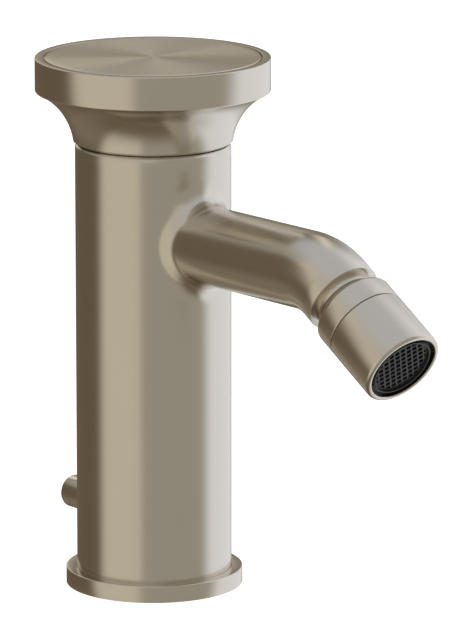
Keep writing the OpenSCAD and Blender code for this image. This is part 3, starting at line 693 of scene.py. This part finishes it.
def wallGrid(skin, look, radius, heights, patches):
    # the wall without its patches, which are given as (middle column, patch)
    around = look["around"]
    for low, high in zip(heights, heights[1:]):
        for k in range(around):
            if any(inPatch(look, k, low, middle, patch) for middle, patch in patches):
                continue
            a, b = math.tau * k / around, math.tau * (k + 1) / around
            addFace(skin, [onWall(radius, *at) for at in ((a, low), (b, low), (b, high), (a, high))])


def wallPatch(skin, radius, facing, border, hole, steps):
    # fills the wall between the rectangle's border and the hole's edge
    rows = []
    for step in range(steps + 1):
        t = step / steps
        rows.append([onWall(radius, facing + a * (1 - t) + h[0] * t, z * (1 - t) + h[1] * t)
                     for (a, z), h in zip(border, hole)])
    joinRows(skin, rows)


def filletRows(look, column, height, turns):
    # arcs from the column's wall to the spout's tube, one for each turn round the tube
    tube, size, steps = look["tubeRadius"], look["fillet"], look["filletSteps"]
    shrink = column / (column + size)
    rows = []
    for step in range(steps + 1):
        row = []
        for a in turns:
            x, z = (tube + size) * math.sin(a), height + (tube + size) * math.cos(a)
            centre = Vector((x, -math.sqrt((column + size) ** 2 - x * x), z))
            onColumn = Vector((centre.x * shrink, centre.y * shrink, centre.z))
            onTube = Vector((tube * math.sin(a), centre.y, height + tube * math.cos(a)))
            row.append(tuple(centre + blend(onColumn - centre, onTube - centre, step / steps)))
        rows.append(row)
    return rows


def tubeRow(centre, lean, radius, turns):
    up = Vector((0, -math.sin(lean), math.cos(lean)))
    return [tuple(centre + Vector((radius * math.sin(a), 0, 0)) + up * (radius * math.cos(a))) for a in turns]


def spoutRows(look, turns, root):
    # level tube, bend, end face and bore
    tube, bend, steps = look["tubeRadius"], look["bendRadius"], look["straightSteps"]
    start = bendCorner.y + bend * math.tan(spoutDrop / 2)
    level = tubeRow(Vector((0, start, bendCorner.z)), 0, tube, turns)
    rows = []
    for step in range(1, steps + 1):
        rows.append([tuple(Vector(a).lerp(Vector(b), step / steps)) for a, b in zip(root, level)])
    pivot = Vector((0, start, bendCorner.z - bend))
    for step in range(1, look["bendSteps"] + 1):
        lean = spoutDrop * step / look["bendSteps"]
        outward = Vector((0, -math.sin(lean), math.cos(lean)))
        rows.append(tubeRow(pivot + outward * bend, lean, tube, turns))
    rounding, end, bore = look["endRounding"], look["end"], look["bore"]
    ease = rounding * look["endEase"]
    for radius, along in ((tube, end - rounding), (tube - ease, end - ease), (tube - rounding, end),
                          (bore, end), (bore, look["boreFrom"])):
        rows.append(tubeRow(bendCorner + outletAhead * along, spoutDrop, radius, turns))
    return rows


def slotEdge(look, border, radius):
    # the slot's outline, seen from behind: a stadium, met by rays from its middle
    rise, half = look["slotRise"] / 2, look["slotHalf"]
    middle = look["slotLow"] + rise
    edge = []
    for a, z in border:
        x, y = a * halfWidth("column"), z - middle
        size = math.hypot(x, y)
        x, y = x / size, y / size
        reach = half / abs(x) if abs(x) > speck else math.inf
        if reach * abs(y) > rise:
            reach = abs(y) * rise + math.sqrt((y * rise) ** 2 - rise ** 2 + half ** 2)
        edge.append((math.asin(reach * x / radius), middle + reach * y))
    return edge


def addOuterWall(skin, look, column, top, spoutPatch):
    slotPatch = look["slotPatch"]
    heights = [look["lip"] + look["lipChamfer"], look["lowRow"]] + patchRows(slotPatch) + look["rowsBetween"]
    heights += patchRows(spoutPatch) + [top + look["topEdge"][0][1]]
    wallGrid(skin, look, column, heights, [(0, spoutPatch), (look["around"] // 2, slotPatch)])


def addSpout(skin, look, column, patch):
    border = patchBorder(look, patch)
    turns = [math.atan2(a * column, z - bendCorner.z) for a, z in border]
    fillet = filletRows(look, column, bendCorner.z, turns)
    hole = [(math.asin(p[0] / column), p[2]) for p in fillet[0]]
    wallPatch(skin, column, 0, border, hole, patch["steps"])
    rows = spoutRows(look, turns, fillet[-1])
    joinRows(skin, fillet + rows)
    closeRow(skin, rows[-1], tuple(bendCorner + outletAhead * look["boreFrom"]))


def addSlot(skin, look, column, inner):
    patch = look["slotPatch"]
    border = patchBorder(look, patch)
    sides = []
    for radius in (column, inner):
        edge = slotEdge(look, border, radius)
        wallPatch(skin, radius, math.pi, border, edge, patch["steps"])
        sides.append([onWall(radius, math.pi + a, z) for a, z in edge])
    joinRows(skin, sides)


def addInnerWall(skin, look, column, inner):
    slotPatch, lip, chamfer = look["slotPatch"], look["lip"], look["lipChamfer"]
    heights = [lip, look["lowRow"]] + patchRows(slotPatch)
    heights += [z for z in look["rowsBetween"] if z < look["ceiling"]] + [look["ceiling"]]
    wallGrid(skin, look, inner, heights, [(look["around"] // 2, slotPatch)])
    lowEdge = [(inner, lip), (column - chamfer, lip), (column, lip + chamfer)]
    joinRows(skin, [wallRing(look, r, z) for r, z in lowEdge])


def addChamber(skin, look, column, top):
    # over the top edge and down into the cartridge's chamber
    rim = [(column - inward, top + up) for inward, up in look["topEdge"]]
    rim += [(look["glideSeat"], top), (look["glideSeat"], look["glideFloor"]),
            (look["nutThread"], look["glideFloor"]), (look["nutThread"], look["nutSeat"]),
            (look["chamber"], look["nutSeat"]), (look["chamber"], look["chamberFloor"])]
    rows = [wallRing(look, r, z) for r, z in rim]
    joinRows(skin, rows)
    closeRow(skin, rows[-1], (0, 0, look["chamberFloor"]))


def addCeiling(skin, look, inner):
    # the block's underside over the hose space, with its four holes
    ceiling = look["ceiling"]
    loops = [wallRing(look, inner, ceiling)]
    for x, y, radius, end in look["holes"]:
        ring = [(x + px, y + py) for px, py, _ in circle(radius, 0, look["holeSteps"])]
        mouth, far = [(px, py, ceiling) for px, py in ring], [(px, py, end) for px, py in ring]
        loops.append(mouth)
        joinRows(skin, [mouth, far])
        closeRow(skin, far, (x, y, end))
    flat = [point for loop in loops for point in loop]
    for a, b, c in tessellate_polygon([[Vector(p) for p in loop] for loop in loops]):
        addFace(skin, (flat[a], flat[b], flat[c]))


def buildBody(look):
    column, top = halfWidth("column"), highest("column")
    inner = column - look["wall"]
    reach = look["spoutPatch"]["reach"]
    spoutPatch = dict(look["spoutPatch"], low=bendCorner.z - reach, high=bendCorner.z + reach)
    skin = newSkin()
    addOuterWall(skin, look, column, top, spoutPatch)
    addSpout(skin, look, column, spoutPatch)
    addSlot(skin, look, column, inner)
    addInnerWall(skin, look, column, inner)
    addChamber(skin, look, column, top)
    addCeiling(skin, look, inner)
    return meshPiece("castBody", skin["points"], skin["faces"], nickel, "body", ["column", "spout"],
                     sharp=look["sharp"])


buildBody(castBody)
print("body built")

# places along the outlet are counted from the bend's corner
outlet = {
    "outer": 12.0, "back": 14.7, "backRounding": 1.2, "ballRoom": 10.85,
    "seam": 22.2, "seamGap": 0.2, "seamRounding": 0.25,
    "spigot": 11.35, "spigotEnd": 24.5, "spigotPlay": 0.05, "ledgePlay": 0.1,
    "cup": 11.61, "cupBore": 4.3, "regulator": 6.25, "regulatorSeat": 29.3, "shelf": 30.3,
    "mouth": 10.45, "mouthRounding": 0.3, "rim": 40.3, "rimRounding": 1.05,
    "collarSteps": 8, "shellSteps": 6,
}


def alongOutlet():
    # puts a turned piece's Z along the outlet, from the bend's corner
    side = Vector((1, 0, 0))
    place = Matrix((side, outletAhead.cross(side), outletAhead)).transposed().to_4x4()
    place.translation = bendCorner * mm
    return place


def buildCollar(look):
    ball, room, back = castBody["ballAt"], look["ballRoom"], look["back"]
    front = look["seam"] - look["seamGap"]
    mouth = math.sqrt(room ** 2 - (ball - back) ** 2)
    outside = rounded([
        (mouth, back, 0), (look["outer"], back, look["backRounding"]),
        (look["outer"], front, look["seamRounding"]), (look["spigot"], front, 0),
        (look["spigot"], look["spigotEnd"], 0), (room, look["spigotEnd"], 0),
    ], look["collarSteps"])
    points, faces = turned(outside + sphereArc(room, ball, ball, back))
    return meshPiece("outletCollar", points, faces, nickel, "outlet", ["swivel_collar"], alongOutlet())


def buildShell(look):
    ball, cup = castBody["ballAt"], look["cup"]
    socket, ledge = look["spigot"] + look["spigotPlay"], look["spigotEnd"] + look["ledgePlay"]
    floor = ball + math.sqrt(cup ** 2 - look["cupBore"] ** 2)
    outside = rounded([
        (socket, look["seam"], 0), (look["outer"], look["seam"], look["seamRounding"]),
        (look["outer"], look["rim"], look["rimRounding"]),
        (look["mouth"], look["rim"], look["mouthRounding"]),
        (look["mouth"], look["shelf"], 0), (look["regulator"], look["shelf"], 0),
        (look["regulator"], look["regulatorSeat"], 0), (look["cupBore"], look["regulatorSeat"], 0),
    ], look["shellSteps"])
    points, faces = turned(outside + sphereArc(cup, ball, floor, ledge) + [(socket, ledge)])
    return meshPiece("outletShell", points, faces, nickel, "outlet", ["outlet_shell"], alongOutlet())


buildCollar(outlet)
buildShell(outlet)
print("outlet built")

neck = {
    "radius": 9.3, "ball": 10.75, "ballEnd": 8.9, "ballSteps": 32, "bore": 4.8,
    "shank": 9.0, "shankLength": 7.5, "sealAt": 5.2, "sealHalf": 1.0, "sealDepth": 1.1, "sharp": 20,
}


def buildNeck(look):
    # the shank in the spout's bore, then the plain neck that runs straight into the ball
    ball, end = castBody["ballAt"], castBody["end"]
    meets = ball - math.sqrt(look["ball"] ** 2 - look["radius"] ** 2)
    start, tip = end - look["shankLength"], ball + look["ballEnd"]
    low, high = look["sealAt"] - look["sealHalf"], look["sealAt"] + look["sealHalf"]
    shank, groove = look["shank"], look["shank"] - look["sealDepth"]
    outline = [(look["bore"], start), (shank, start), (shank, low), (groove, low), (groove, high),
               (shank, high), (shank, end), (look["radius"], end)]
    outline += sphereArc(look["ball"], ball, meets, tip, look["ballSteps"]) + [(look["bore"], tip)]
    points, faces = turned(outline)
    return meshPiece("outletNeck", points, faces, nickel, "body", ["ball_nipple"], alongOutlet(),
                     sharp=look["sharp"])


buildNeck(neck)
print("neck built")

knob = {"frontRounding": 0.15, "endRounding": 0.4, "bore": 2.05, "boreDepth": 4.0}


def buildKnob(look):
    low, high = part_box("lift_knob")
    start, end, radius = low[1] / mm, high[1] / mm, halfWidth("lift_knob")
    bore, depth = look["bore"], start + look["boreDepth"]
    outline = rounded([(bore, start, 0), (radius, start, look["frontRounding"]),
                       (radius, end, look["endRounding"]), (0, end, 0)])
    points, faces = turned(outline + [(0, depth), (bore, depth)])
    place = Matrix.Rotation(math.radians(-90), 4, "X")
    place.translation = (0, 0, (low[2] + high[2]) / 2)
    return meshPiece("liftKnob", points, faces, nickel, "lift", ["lift_knob"], place)


buildKnob(knob)
print("knob built")
